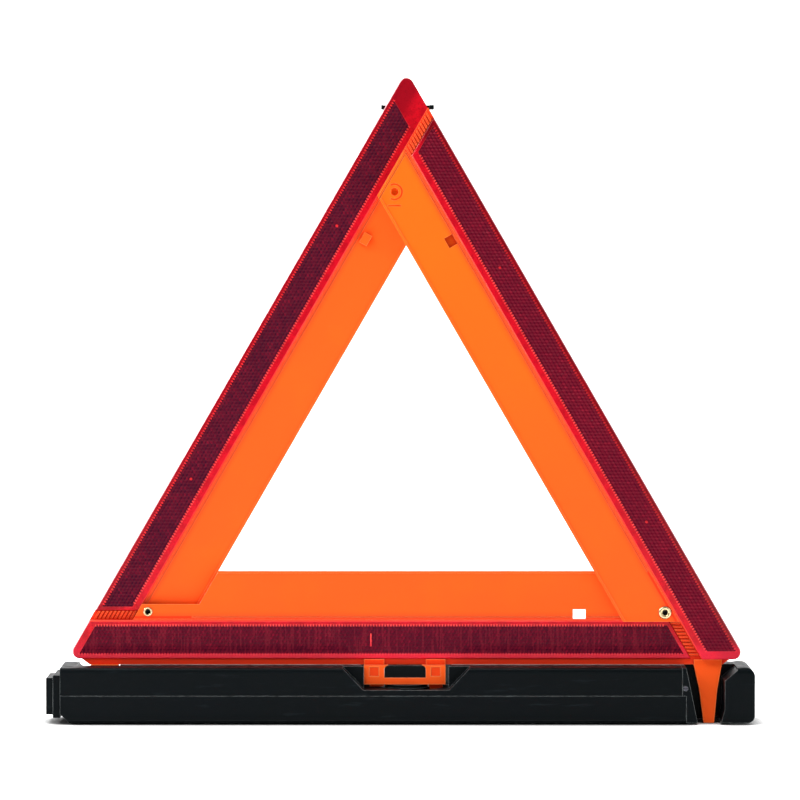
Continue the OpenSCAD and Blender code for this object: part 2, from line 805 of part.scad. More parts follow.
// Two steel bars that weigh the base down, one each side of the swivel
module ballast_bars() {
    bar = [116, 40, 12];
    bar_x = [-164, 56];
    for (x = bar_x)
        color(BALLAST) translate([x, -bar[1] / 2, under_z + wall]) cube(bar);
}

// Outline of the end cap from the front: rounded horn at the top, rounded toe at the bottom
module cap_outline() {
    horn_r = 6;
    toe_r = 5;
    horn_z = base_h + 0.4;
    horn_x = [222.3, 225];
    toe = [for (a = [-90 : 10 : 0]) [end_x - toe_r + toe_r * cos(a), under_z + toe_r + toe_r * sin(a)]];
    horn = [for (a = [0 : 10 : 90]) [end_x - horn_r + horn_r * cos(a), horn_z - horn_r + horn_r * sin(a)]];
    polygon(concat([[seam_low, under_z]], toe, horn,
                   [[horn_x[1], horn_z], [horn_x[0], base_h], [seam_up, base_h],
                    [seam_up, parting_z], [seam_low, parting_z]]));
}

// End cap: leg notch, a rounded horn that guards the leg, and hollows open to the ground
module right_end_cap() {
    top_r = 5;
    horn_hollow_x = 217.5;
    horn_hollow_z = 26;
    color(BLACK)
        difference() {
            intersection() {
                run([seam_up, end_x]) top_section(lower_half_d, under_z, base_h + over, top_r);
                across([-base_d, base_d]) cap_outline();
            }
            difference() {
                leg_notch(0);
                notch_floor();
            }
            end_tabs(tab_play);
            span_cube([seam_low + wall, end_x - wall], [notch_back + wall, lower_half_d - wall],
                      [0, tab_z[0] - wall]);
            span_cube([horn_hollow_x, end_x - wall], [-lower_half_d + wall, notch_back], [0, horn_hollow_z]);
            at_cap_screw(-base_d) cylinder(h = 2 * base_d, r = cap_pilot_r);
            for (y = [-base_d / 2 - over, base_d / 2 - cap_screw_head[1]])
                at_cap_screw(y) cylinder(h = cap_screw_head[1] + over, r = cap_screw_head[0]);
        }
}

// Stepped plug that closes the left end
module left_end_plug() {
    step_x = -229;
    step_y = 21;
    step_z = [4, 32.3];
    tip_y = 18;
    tip_z = [6, 30.3];
    color(BLACK)
        difference() {
            union() {
                span_cube([body_x, body_x + plug_in], [-plug_y, plug_y], plug_z);
                span_cube([step_x, body_x], [-step_y, step_y], step_z);
                span_cube([-end_x, step_x], [-tip_y, tip_y], tip_z);
            }
            span_cube([body_x - over, body_x + plug_in + over], [-plug_y + wall, plug_y - wall],
                      [plug_z[0] + wall, plug_z[1] - wall]);
        }
}

// One small screw at each side of the end cap
module end_cap_screws() {
    length = 8;
    slot_w = 0.4;
    slot_t = 0.4;
    color(STEEL)
        for (turn = [0, 180])
            translate([cap_screw_x, 0, cap_screw_z]) rotate([0, 0, turn])
                translate([0, -base_d / 2, 0]) rotate([-90, 0, 0])
                    difference() {
                        union() {
                            cylinder(h = cap_screw_head[1], r = cap_screw_head[0]);
                            cylinder(h = length, r = cap_pilot_r);
                        }
                        translate([-cap_screw_head[0], -slot_w / 2, -over])
                            cube([2 * cap_screw_head[0], slot_w, over + slot_t]);
                    }
}

// Eight screws from below hold the shells together
module cover_screws() {
    head_z = 3.4;
    seat_z = 6;
    length = 22;
    head_r = 3.2;
    drive = [4, 0.8, 1];            // length, width and depth of the cross slots
    color(STEEL)
        at_screws() {
            translate([0, 0, head_z]) difference() {
                cylinder(h = seat_z - head_z, r = head_r);
                for (turn = [0, 90])
                    rotate([0, 0, turn]) translate([-drive[0] / 2, -drive[1] / 2, -over])
                        cube([drive[0], drive[1], over + drive[2]]);
            }
            translate([0, 0, seat_z]) cylinder(h = length, r = pilot_r);
        }
}

module rubber_feet() {
    bevel = 0.6;
    color(RUBBER)
        for (x = [-foot_x, foot_x], y = [-foot_y, foot_y])
            translate([x, y, 0]) {
                cylinder(h = bevel, r1 = foot_r - bevel, r2 = foot_r);
                translate([0, 0, bevel]) cylinder(h = foot_h - bevel, r = foot_r);
            }
}

// Flanged sleeve pressed into the pocket floor from below
module base_bushing() {
    flange_r = sleeve_r + 2.5;
    color(STEEL) on_axis()
        difference() {
            union() {
                translate([0, 0, bushing_low_z]) cylinder(h = floor_z - bushing_low_z, r = sleeve_r);
                translate([0, 0, bushing_low_z]) cylinder(h = bushing_flange_t, r = flange_r);
            }
            cylinder(h = base_h, r = bolt_r + bolt_play);
        }
}

base_housing();
base_cover();
ballast_bars();
right_end_cap();
left_end_plug();
end_cap_screws();
cover_screws();
rubber_feet();
base_bushing();
bottom_panel();
bottom_lens_front();
bottom_lens_rear();
swivel_bracket();
swivel_block();
swivel_bolt();
swivel_nut();
thrust_washer();
spring_washer();
front_leg();
rear_leg();
left_eyelet();
right_eyelet();
left_pivot_spacer();
right_pivot_spacer();
left_panel();
left_lens_front();
left_lens_rear();
apex_stud();
apex_clip();
right_panel();
right_lens_front();
right_lens_rear();
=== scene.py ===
"""Looks for the folding warning triangle: reflectors, moulded plastics, metals, floor, light and camera."""
import json
import math
import random

import bmesh
import bpy
from mathutils import Matrix, Vector


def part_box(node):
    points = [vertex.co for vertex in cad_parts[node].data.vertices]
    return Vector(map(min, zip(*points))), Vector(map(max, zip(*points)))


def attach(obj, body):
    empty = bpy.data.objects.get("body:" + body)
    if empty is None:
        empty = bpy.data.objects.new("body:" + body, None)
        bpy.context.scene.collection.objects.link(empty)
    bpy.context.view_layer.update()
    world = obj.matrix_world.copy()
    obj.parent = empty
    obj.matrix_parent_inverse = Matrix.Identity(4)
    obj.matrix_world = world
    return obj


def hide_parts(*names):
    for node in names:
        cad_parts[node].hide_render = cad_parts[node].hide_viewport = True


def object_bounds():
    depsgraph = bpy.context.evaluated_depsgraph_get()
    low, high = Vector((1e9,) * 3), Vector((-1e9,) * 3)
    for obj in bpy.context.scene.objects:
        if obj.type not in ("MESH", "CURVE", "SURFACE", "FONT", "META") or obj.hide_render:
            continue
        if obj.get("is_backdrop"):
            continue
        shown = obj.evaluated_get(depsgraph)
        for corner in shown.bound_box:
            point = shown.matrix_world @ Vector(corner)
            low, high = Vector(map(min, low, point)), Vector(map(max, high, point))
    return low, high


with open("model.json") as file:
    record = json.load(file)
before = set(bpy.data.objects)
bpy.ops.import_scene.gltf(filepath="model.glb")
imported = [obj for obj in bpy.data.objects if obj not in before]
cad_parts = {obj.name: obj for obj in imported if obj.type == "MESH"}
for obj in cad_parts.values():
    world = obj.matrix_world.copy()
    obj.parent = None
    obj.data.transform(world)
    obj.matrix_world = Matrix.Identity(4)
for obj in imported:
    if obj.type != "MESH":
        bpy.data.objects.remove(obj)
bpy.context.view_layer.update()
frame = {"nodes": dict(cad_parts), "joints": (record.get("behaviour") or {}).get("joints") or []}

MM = 0.001
BORE_R = 1.6 * MM             # bore of an eyelet

# ---------------------------------------------------------------- the triangle, read from the frame

JOINTS = {joint["name"]: joint for joint in frame["joints"]}
LEFT_PIVOT = Vector(JOINTS["left_arm_fold"]["pos_m"])
RIGHT_PIVOT = Vector(JOINTS["right_arm_fold"]["pos_m"])
LENS_LOW, LENS_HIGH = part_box("bottom_lens_front")

CORNER = math.radians(60)
LENS_W = LENS_HIGH.z - LENS_LOW.z
LENS_T = LENS_HIGH.y - LENS_LOW.y
CORE_HALF = -LENS_HIGH.y
PIVOT_INSET = LEFT_PIVOT.z - LENS_LOW.z
PIVOT_ALONG = PIVOT_INSET / math.tan(CORNER / 2)
SIDE = RIGHT_PIVOT.x - LEFT_PIVOT.x + 2 * PIVOT_ALONG
IN_RADIUS = SIDE / (2 * math.tan(CORNER))
AXIS_X = (LEFT_PIVOT.x + RIGHT_PIVOT.x) / 2
OUTER_Z = LENS_LOW.z
CENTRE_Z = OUTER_Z + IN_RADIUS
CORNER_R = OUTER_Z + SIDE * math.sin(CORNER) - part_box("left_lens_front")[1].z

# Each bar is the one before it turned by a third about the triangle's centre, in its own layer
BARS = {"bottom": 0, "right": 1, "left": 2}
SIN_60 = math.sin(CORNER)
BAR_BODY = {"bottom": "bottom_bar", "right": "right_arm", "left": "left_arm"}


def layer_y(bar):
    low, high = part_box(f"{bar}_lens_front")[0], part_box(f"{bar}_lens_rear")[1]
    return (low.y + high.y) / 2


def bar_matrix(bar):
    """From a bar's frame (u along it from its corner, v inwards, w to the front) to the row frame."""
    turn = Matrix.Rotation(math.radians(-120 * BARS[bar]), 4, "Y")
    place = Matrix.Translation((AXIS_X, layer_y(bar), CENTRE_Z))
    shift = Matrix.Translation((-SIDE / 2, 0, -IN_RADIUS))
    stand_up = Matrix.Rotation(math.radians(90), 4, "X")
    return place @ turn @ shift @ stand_up


def near_u(distance, v):
    """Place along a bar of a point at height v, that distance from the outer line at its own corner."""
    return (distance + v * math.cos(CORNER)) / math.sin(CORNER)


def far_u(distance, v):
    return SIDE - near_u(distance, v)


# ---------------------------------------------------------------- material helpers

class Graph:
    """A material's node tree, with short calls for the nodes used here."""

    def __init__(self, name):
        self.material = bpy.data.materials.new(name)
        self.material.use_nodes = True
        self.tree = self.material.node_tree
        self.shader = next(n for n in self.tree.nodes if n.type == "BSDF_PRINCIPLED")
        self.point = self.add("ShaderNodeTexCoord").outputs["Object"]

    def add(self, kind, **settings):
        node = self.tree.nodes.new(kind)
        for key, value in settings.items():
            setattr(node, key, value)
        return node

    def put(self, value, socket):
        """Links an output to a socket, or sets the socket's value."""
        if isinstance(value, bpy.types.NodeSocket):
            self.tree.links.new(value, socket)
        else:
            socket.default_value = value

    def set(self, **values):
        for name, value in values.items():
            self.put(value, self.shader.inputs[name.replace("_", " ")])

    def math(self, operation, a, b=0.0):
        node = self.add("ShaderNodeMath", operation=operation)
        self.put(a, node.inputs[0])
        self.put(b, node.inputs[1])
        return node.outputs[0]

    def dot(self, vector, direction):
        node = self.add("ShaderNodeVectorMath", operation="DOT_PRODUCT")
        self.put(vector, node.inputs[0])
        node.inputs[1].default_value = direction
        return node.outputs["Value"]

    def smooth(self, value, low, high):
        """0 at low, 1 at high, smooth between."""
        node = self.add("ShaderNodeMapRange", interpolation_type="SMOOTHSTEP")
        self.put(value, node.inputs["Value"])
        node.inputs["From Min"].default_value = low
        node.inputs["From Max"].default_value = high
        return node.outputs["Result"]

    def noise(self, cell, detail=3.0, roughness=0.5, stretch=(1, 1, 1)):
        """Noise whose features are about cell metres across."""
        scale = self.add("ShaderNodeMapping")
        scale.inputs["Scale"].default_value = stretch
        self.put(self.point, scale.inputs["Vector"])
        node = self.add("ShaderNodeTexNoise")
        self.put(scale.outputs[0], node.inputs["Vector"])
        node.inputs["Scale"].default_value = 1 / cell
        node.inputs["Detail"].default_value = detail
        node.inputs["Roughness"].default_value = roughness
        return node.outputs["Fac"]

    def mix(self, factor, a, b):
        node = self.add("ShaderNodeMix", data_type="RGBA")
        self.put(factor, node.inputs["Factor"])
        self.put(rgba(a), node.inputs["A"])
        self.put(rgba(b), node.inputs["B"])
        return node.outputs["Result"]

    def edges(self, radius):
        """1 on edges sharper than radius, 0 on flat faces."""
        bevel = self.add("ShaderNodeBevel", samples=4)
        bevel.inputs["Radius"].default_value = radius
        normal = self.add("ShaderNodeNewGeometry").outputs["Normal"]
        node = self.add("ShaderNodeVectorMath", operation="DOT_PRODUCT")
        self.put(bevel.outputs[0], node.inputs[0])
        self.put(normal, node.inputs[1])
        return self.smooth(self.math("SUBTRACT", 1.0, node.outputs["Value"]), 0.01, 0.25)

    def hollow(self, reach):
        """1 deep in corners and slots, 0 in the open."""
        node = self.add("ShaderNodeAmbientOcclusion", samples=8)
        node.inputs["Distance"].default_value = reach
        return self.smooth(self.math("SUBTRACT", 1.0, node.outputs["AO"]), 0.08, 0.75)

    def bump(self, height, depth, after=None):
        node = self.add("ShaderNodeBump")
        node.inputs["Distance"].default_value = depth
        self.put(height, node.inputs["Height"])
        if after is not None:
            self.put(after, node.inputs["Normal"])
        return node.outputs["Normal"]


def rgba(colour):
    if isinstance(colour, bpy.types.NodeSocket):
        return colour
    return (*colour, 1.0)


def srgb(red, green, blue):
    """Linear colour of an 8-bit screen colour."""
    def linear(c):
        c /= 255
        return c / 12.92 if c <= 0.04045 else ((c + 0.055) / 1.055) ** 2.4
    return linear(red), linear(green), linear(blue)


# ---------------------------------------------------------------- materials

ORANGE = srgb(250, 90, 32)
ORANGE_WARM = srgb(251, 112, 20)
ORANGE_RED = srgb(248, 58, 34)
ORANGE_IN_SHADE = srgb(178, 18, 6)
MAROON = srgb(86, 12, 34)
MAROON_DARK = srgb(50, 6, 30)
MAROON_LIGHT = srgb(122, 16, 40)
BASE_BLACK = srgb(9, 14, 16)


def inset_in(g, bar):
    """Distance from a bar's outer line, measured inwards."""
    angle = math.radians(120 * BARS[bar])
    outward = Vector((math.sin(angle), 0, -math.cos(angle)))
    centre = Vector((AXIS_X, 0, CENTRE_Z))
    return g.math("SUBTRACT", IN_RADIUS + outward.dot(centre), g.dot(g.point, outward))


def orange_plastic(name, warmth, bar=None, shading=0.7, edge_reach=0.6 * MM, sunk_y=None):
    """Fluorescent moulded plastic: warmer with height, a painted red reflection beside the reflector,
    painted shade in corners and recesses and a painted highlight on edges.
    """
    g = Graph("orange_" + name)
    height = g.dot(g.point, (0, 0, 1))
    warm = g.smooth(height, OUTER_Z + 0.02, OUTER_Z + 0.34)
    cloud = g.noise(0.035, 4.0)
    colour = g.mix(g.math("MULTIPLY", warm, warmth), ORANGE, ORANGE_WARM)
    colour = g.mix(g.math("MULTIPLY", g.smooth(cloud, 0.45, 0.75), 0.12), colour, ORANGE_WARM)
    if bar:
        inset = inset_in(g, bar)
        # Painted reflection: the orange turns red near the red reflector.
        red_reflection = g.math("SUBTRACT", 1.0, g.smooth(inset, LENS_W, LENS_W + 6 * MM))
        colour = g.mix(g.math("MULTIPLY", red_reflection, 0.9), colour, ORANGE_RED)
        # Painted shade: a dark red line in the channel a little inside the reflector's edge.
        before = g.smooth(inset, LENS_W + 1.6 * MM, LENS_W + 1.9 * MM)
        beyond = g.smooth(inset, LENS_W + 2.4 * MM, LENS_W + 2.7 * MM)
        groove_shade = g.math("SUBTRACT", before, beyond)
        colour = g.mix(g.math("MULTIPLY", groove_shade, 0.7), colour, srgb(214, 34, 14))
    if sunk_y:
        out = g.math("ABSOLUTE", g.dot(g.point, (0, 1, 0)))
        # Painted shade: faces set back from the front face, the recesses and side walls, turn redder.
        sunk = g.math("SUBTRACT", 1.0, g.smooth(out, sunk_y - 0.7 * MM, sunk_y - 0.15 * MM))
        colour = g.mix(g.math("MULTIPLY", sunk, 0.6), colour, srgb(232, 44, 16))
    edge = g.edges(edge_reach)
    # Painted shade: darker in corners, slots and under overlapping parts, as much as shading asks.
    deep = g.math("MULTIPLY", g.hollow(8 * MM), shading)
    fine = g.math("MULTIPLY", g.hollow(1.2 * MM), min(1.0, 2 * shading))
    colour = g.mix(g.math("MAXIMUM", deep, fine), colour, ORANGE_IN_SHADE)
    # Painted highlight: paler orange along the edges.
    glow = g.mix(g.math("MULTIPLY", edge, 0.6), colour, srgb(255, 168, 100))
    scuff = g.smooth(g.noise(0.0035, 6.0, 0.7, (1, 1, 4)), 0.62, 0.8)
    finish = g.mix(g.math("MULTIPLY", scuff, 0.1), glow, srgb(255, 190, 140))
    rough = g.math("ADD", g.math("MULTIPLY", cloud, 0.16), g.math("MULTIPLY", scuff, 0.18))
    g.set(Base_Color=finish, Roughness=g.math("ADD", rough, 0.3), Specular_IOR_Level=0.18)
    # A faint painted glow keeps the orange bright.
    g.set(Emission_Color=finish, Emission_Strength=0.06, Specular_Tint=rgba(srgb(255, 180, 120)))
    grain = g.bump(g.noise(0.0009, 3.0), 0.03 * MM)
    g.set(Normal=g.bump(g.noise(0.02, 2.0), 0.3 * MM, grain))
    return g.material


def bright_red_plastic(name, bar, outer, inner):
    """Clear red plastic: darker along the bar's outer side, a painted coral highlight on its inner edge,
    a painted pale highlight on the chamfers that look forwards and outwards."""
    g = Graph("red_" + name + "_" + bar)
    inset = inset_in(g, bar)
    shade = g.mix(g.smooth(inset, LENS_W / 2 - 3 * MM, LENS_W / 2 + 6 * MM), outer, inner)
    cloud = g.noise(0.006, 4.0)
    fine = g.noise(0.0011, 3.0)
    colour = g.mix(g.math("MULTIPLY", g.smooth(cloud, 0.35, 0.7), 0.5), shade, srgb(150, 2, 22))
    colour = g.mix(g.math("MULTIPLY", g.smooth(fine, 0.5, 0.7), 0.4), colour, srgb(120, 2, 18))
    # Painted shade: darker red in corners and slots.
    colour = g.mix(g.math("MULTIPLY", g.hollow(3 * MM), 0.75), colour, srgb(90, 2, 14))
    # Painted highlight: a coral line along the reflector's inner edge.
    rim = g.smooth(inset, LENS_W - 1.1 * MM, LENS_W - 0.4 * MM)
    colour = g.mix(g.math("MULTIPLY", rim, 0.8), colour, srgb(255, 74, 56))
    # Paler pink along edges: partly worn, partly painted highlight.
    colour = g.mix(g.math("MULTIPLY", g.edges(0.5 * MM), 0.4), colour, srgb(255, 92, 92))
    pink = g.math("SUBTRACT", 1.0, g.smooth(g.dot(g.point, (0, 0, 1)), OUTER_Z + 4 * MM, OUTER_Z + 14 * MM))
    colour = g.mix(g.math("MULTIPLY", pink, 0.55), colour, srgb(246, 26, 62))
    # Painted highlight: a pale pink line on the outermost chamfers that look forwards and towards the lit
    # side, strong on the left and bottom bars, weaker on the right bar.
    side, strength = (SIN_60, 0.35) if bar == "right" else (-SIN_60, 0.8)
    normal = g.add("ShaderNodeNewGeometry").outputs["Normal"]
    chamfer_highlight = g.smooth(g.dot(normal, (side, 0, 0.5)), 0.35, 0.6)
    chamfer = g.smooth(g.dot(normal, (0, -1, 0)), 0.2, 0.45)
    chamfer_highlight = g.math("MULTIPLY", chamfer_highlight, chamfer)
    if bar != "bottom":
        outermost = g.math("SUBTRACT", 1.0, g.smooth(inset, 0.8 * MM, 1.4 * MM))
        chamfer_highlight = g.math("MULTIPLY", chamfer_highlight, outermost)
    finish = g.mix(g.math("MULTIPLY", chamfer_highlight, strength), colour, srgb(255, 196, 204))
    # A faint painted glow keeps the red bright.
    g.set(Base_Color=finish, Emission_Color=finish, Emission_Strength=0.03)
    g.set(Roughness=g.math("ADD", g.math("MULTIPLY", cloud, 0.12), 0.14), Specular_IOR_Level=0.2)
    g.set(Specular_Tint=rgba(srgb(255, 150, 140)), Coat_Weight=0.2, Coat_Roughness=0.07)
    g.set(Normal=g.bump(g.noise(0.006, 2.0), 0.04 * MM))
    return g.material


def prism_red_plastic(bar, lit_redness):
    """Reflex prisms: deep maroon; each facet lighter or darker by the mesh's own attribute, partly at
    random and partly as painted shade by the way the facet points.
    """
    g = Graph("red_prisms_" + bar)
    tone_and_facet_shade = g.add("ShaderNodeAttribute", attribute_name="tone_and_facet_shade").outputs["Fac"]
    band = g.noise(0.02, 2.0)
    colour = g.mix(g.smooth(tone_and_facet_shade, 0.0, 0.6), MAROON_DARK, MAROON)
    colour = g.mix(g.smooth(tone_and_facet_shade, 0.7, 1.0), colour, MAROON_LIGHT)
    colour = g.mix(g.math("MULTIPLY", g.smooth(band, 0.4, 0.7), 0.4), colour, MAROON_DARK)
    streak = g.noise(1.6 * MM, 2.0, 0.5, (1, 1, 0.08))
    streaky = 0.4 if bar == "bottom" else 0.0
    colour = g.mix(g.math("MULTIPLY", g.smooth(streak, 0.5, 0.62), streaky), colour, srgb(126, 30, 46))
    # Painted light: each bar's prisms turn redder by how the light falls on that bar.
    colour = g.mix(lit_redness, colour, srgb(150, 6, 26))
    # A faint painted glow lifts the maroon.
    g.set(Base_Color=colour, Emission_Color=colour, Emission_Strength=0.05)
    g.set(Roughness=g.math("ADD", g.math("MULTIPLY", band, 0.1), 0.12), Specular_IOR_Level=0.12)
    g.set(Specular_Tint=rgba(srgb(255, 90, 110)), Coat_Weight=0.15, Coat_Roughness=0.05)
    return g.material


def black_plastic():
    """Satin black moulding with a spark-eroded grain, a dusting and a painted sheen on top, and edges
    that are worn and carry a painted highlight.
    """
    g = Graph("black_plastic_look")
    cloud = g.noise(0.03, 4.0)
    streak = g.noise(0.004, 5.0, 0.65, (0.12, 1, 1))
    colour = g.mix(g.smooth(cloud, 0.35, 0.7), BASE_BLACK, srgb(9, 14, 17))
    colour = g.mix(g.math("MULTIPLY", g.smooth(streak, 0.58, 0.8), 0.35), colour, srgb(40, 50, 54))
    # Paler on up-facing faces: partly a dusting, partly a painted sheen where the top catches light.
    up = g.dot(g.add("ShaderNodeNewGeometry").outputs["Normal"], (0, 0, 1))
    dust_and_sheen = g.math("MULTIPLY", g.smooth(up, 0.6, 1.0), g.smooth(g.noise(0.008, 5.0, 0.7), 0.45, 0.75))
    colour = g.mix(g.math("MULTIPLY", dust_and_sheen, 0.14), colour, srgb(92, 90, 86))
    # Paler along edges: partly worn, partly painted highlight.
    wear_and_highlight = g.math("MULTIPLY", g.edges(0.7 * MM), g.smooth(g.noise(0.006, 4.0, 0.7), 0.2, 0.6))
    finish = g.mix(g.math("MULTIPLY", wear_and_highlight, 0.85), colour, srgb(134, 140, 140))
    rough = g.math("ADD", g.math("MULTIPLY", cloud, 0.16), g.math("MULTIPLY", dust_and_sheen, 0.3))
    g.set(Base_Color=finish, Roughness=g.math("ADD", rough, 0.3), Specular_IOR_Level=0.03)
    g.set(Coat_Weight=0.03, Coat_Roughness=0.2)
    grain = g.bump(g.noise(0.0007, 3.0), 0.05 * MM)
    g.set(Normal=g.bump(g.noise(0.03, 2.0), 0.4 * MM, grain))
    return g.material


def rubber():
    """Matt rubber with a dusty bloom."""
    g = Graph("rubber_look")
    cloud = g.noise(0.003, 5.0, 0.7)
    g.set(Base_Color=g.mix(cloud, srgb(22, 22, 22), srgb(44, 42, 40)), Roughness=g.math("ADD", cloud, 0.35))
    g.set(Normal=g.bump(g.noise(0.0006, 2.0), 0.1 * MM), Specular_IOR_Level=0.2)
    return g.material


def metal(name, colour, shade, roughness, dark_axis=None):
    """Plated metal with tarnish; around dark_axis, a line along Y, it is painted dark: painted shade at
    the bottom of a bore.
    """
    g = Graph(name)
    cloud = g.noise(0.002, 4.0, 0.6)
    stain = g.smooth(g.noise(0.0012, 5.0, 0.7), 0.5, 0.8)
    finish = g.mix(g.math("MULTIPLY", stain, 0.55), colour, shade)
    # Painted shade: darker in hollows and crevices.
    finish = g.mix(g.math("MULTIPLY", g.hollow(2 * MM), 0.8), finish, srgb(20, 14, 10))
    shine = 1.0
    if dark_axis:
        away = g.add("ShaderNodeVectorMath", operation="DISTANCE")
        g.put(g.point, away.inputs[0])
        middle = g.add("ShaderNodeCombineXYZ")
        g.put(dark_axis.x, middle.inputs[0])
        g.put(g.dot(g.point, (0, 1, 0)), middle.inputs[1])
        g.put(dark_axis.z, middle.inputs[2])
        g.put(middle.outputs[0], away.inputs[1])
        # Painted shade: inside the bore the metal is dark and not metallic.
        open_air = g.smooth(away.outputs["Value"], BORE_R * 0.98, BORE_R * 1.25)
        finish = g.mix(open_air, srgb(14, 9, 6), finish)
        shine = open_air
    rough = g.math("ADD", g.math("MULTIPLY", cloud, 0.2), roughness)
    g.set(Base_Color=finish, Metallic=shine, Roughness=rough)
    g.set(Normal=g.bump(g.noise(0.0004, 2.0), 0.02 * MM), Specular_IOR_Level=0.3)
    return g.material


BLACK = black_plastic()
# Painted light and shade: the outer reds of borders and ribs are one plastic, made lighter or darker per bar
# by how the light falls on that bar.
OUTER_RED_AS_LIT = {"bottom": srgb(196, 10, 34), "left": srgb(150, 4, 24), "right": srgb(106, 0, 15)}
OUTER_RIB_AS_LIT = {"bottom": srgb(246, 54, 64), "left": srgb(232, 34, 44), "right": srgb(186, 16, 30)}
BORDERS = {bar: bright_red_plastic("border", bar, red, srgb(206, 10, 32))
           for bar, red in OUTER_RED_AS_LIT.items()}
RIBS = {bar: bright_red_plastic("ribs", bar, red, srgb(255, 66, 66)) for bar, red in OUTER_RIB_AS_LIT.items()}
# How much redder each bar's prisms are: painted light, per bar.
PRISMS = {bar: prism_red_plastic(bar, lit_redness) for bar, lit_redness in
          (("bottom", 0.08), ("left", 0.0), ("right", 0.2))}
ORANGE_LEG = orange_plastic("leg", 0.3, shading=0.25, edge_reach=1.2 * MM)
ORANGE_BRACKET = orange_plastic("bracket", 0.3, shading=0.35, edge_reach=1.2 * MM,
                                sunk_y=-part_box("swivel_bracket")[0].y)
ZINC = metal("zinc_look", srgb(186, 188, 192), srgb(120, 122, 126), 0.25)
DARK_ZINC = metal("dark_zinc_look", srgb(84, 84, 92), srgb(50, 50, 54), 0.35)
RAW_STEEL = metal("raw_steel_look", srgb(96, 94, 94), srgb(60, 50, 44), 0.5)
EYELET_COLOURS = srgb(226, 206, 160), srgb(150, 116, 66)
LEFT_EYELET = metal("left_eyelet_look", *EYELET_COLOURS, 0.16, LEFT_PIVOT)
RIGHT_EYELET = metal("right_eyelet_look", *EYELET_COLOURS, 0.16, RIGHT_PIVOT)


# ---------------------------------------------------------------- CAD nodes: softened edges and finishes

def dress(node, material, radius=0.35 * MM):
    """Gives a CAD node its finish, rounds its edges and smooths its curves; its mesh stays as packed."""
    piece = frame["nodes"][node]
    piece.data.materials.clear()
    piece.data.materials.append(material)
    for polygon in piece.data.polygons:
        polygon.use_smooth = True
    joined = piece.modifiers.new("joined_corners", "WELD")
    joined.merge_threshold = 0.002 * MM
    flat = piece.modifiers.new("flat_faces", "DECIMATE")
    flat.decimate_type = "DISSOLVE"
    flat.angle_limit = math.radians(0.5)
    soften = piece.modifiers.new("soft_edges", "BEVEL")
    soften.width = radius
    soften.segments = 2
    soften.limit_method = "ANGLE"
    soften.angle_limit = math.radians(35)
    level = piece.modifiers.new("level_faces", "WEIGHTED_NORMAL")
    level.keep_sharp = True


FINISHES = {
    "base_housing": (BLACK, 0.5), "base_cover": (BLACK, 0.4), "right_end_cap": (BLACK, 0.6),
    "left_end_plug": (BLACK, 0.5), "swivel_block": (BLACK, 0.02), "apex_clip": (BLACK, 0.3),
    "thrust_washer": (BLACK, 0.1), "left_pivot_spacer": (BLACK, 0.2), "right_pivot_spacer": (BLACK, 0.2),
    "bottom_panel": (orange_plastic("bottom", 0.3, "bottom", 0.5), 0.15),
    "left_panel": (orange_plastic("left", 0.2, "left"), 0.15),
    "right_panel": (orange_plastic("right", 0.7, "right"), 0.15),
    "swivel_bracket": (ORANGE_BRACKET, 0.3), "front_leg": (ORANGE_LEG, 0.5), "rear_leg": (ORANGE_LEG, 0.5),
    "apex_stud": (orange_plastic("stud", 0.9, shading=0.08), 0.2),
    "end_cap_screws": (DARK_ZINC, 0.08), "cover_screws": (ZINC, 0.12), "base_bushing": (ZINC, 0.15),
    "swivel_bolt": (DARK_ZINC, 0.2), "swivel_nut": (ZINC, 0.2), "spring_washer": (ZINC, 0.08),
    "ballast_bars": (RAW_STEEL, 0.4), "rubber_feet": (rubber(), 0.25),
}
for node_name, (finish_of_node, edge_mm) in FINISHES.items():
    dress(node_name, finish_of_node, edge_mm * MM)


# ---------------------------------------------------------------- reflectors

LENS_TOP = CORE_HALF + LENS_T
RIM_OUT = 3.0 * MM            # bright border along the outer edge
RIM_IN = {"bottom": 3.2 * MM, "right": 5.0 * MM, "left": 5.0 * MM}  # border along the inner edge
LENS_FAR = LENS_W + 6.0 * MM  # distance of a reflector's mitred end from the next bar's outer line
RIM_DROP = 0.12 * MM          # the border's face lies this far below the ribs' tops
FIELD_TOP = LENS_TOP - 0.35 * MM
FIELD_DEPTH = 0.34 * MM
FIELD_BASE = LENS_TOP - 1.1 * MM
CELL_R = 1.45 * MM            # radius of one hexagonal prism cell
# Distance of the prism field's near end from the previous bar's outer line
DARK_START = {"bottom": 5.5 * MM, "right": 5.5 * MM, "left": 17.0 * MM}
GATES_ALONG = (0.249 * SIDE, 0.68 * SIDE)  # the arms' round gate marks
LINE_ALONG = 0.447 * SIDE                  # the bottom bar's upright line


def outline(inset=0.0):
    """Corner points of a reflector: arc at its own corner, mitre at the other end."""
    radius = CORNER_R
    tangent = radius / math.tan(CORNER / 2)
    arc = [math.radians(a) for a in range(150, 271, 10)]
    points = [(tangent + (radius - inset) * math.cos(a), radius + (radius - inset) * math.sin(a))
              for a in arc]
    ends = [
        (far_u(LENS_FAR + inset, inset), inset),
        (far_u(LENS_FAR + inset, LENS_W - inset), LENS_W - inset),
        (near_u(inset, LENS_W - inset), LENS_W - inset),
    ]
    return points + ends


def dark_zone(bar):
    """The four corners of the prism field."""
    v0, v1 = RIM_OUT, LENS_W - RIM_IN[bar]
    start, end = DARK_START[bar], LENS_FAR + 2.6 * MM
    return [(near_u(start, v0), v0), (far_u(end, v0), v0), (far_u(end, v1), v1), (near_u(start, v1), v1)]


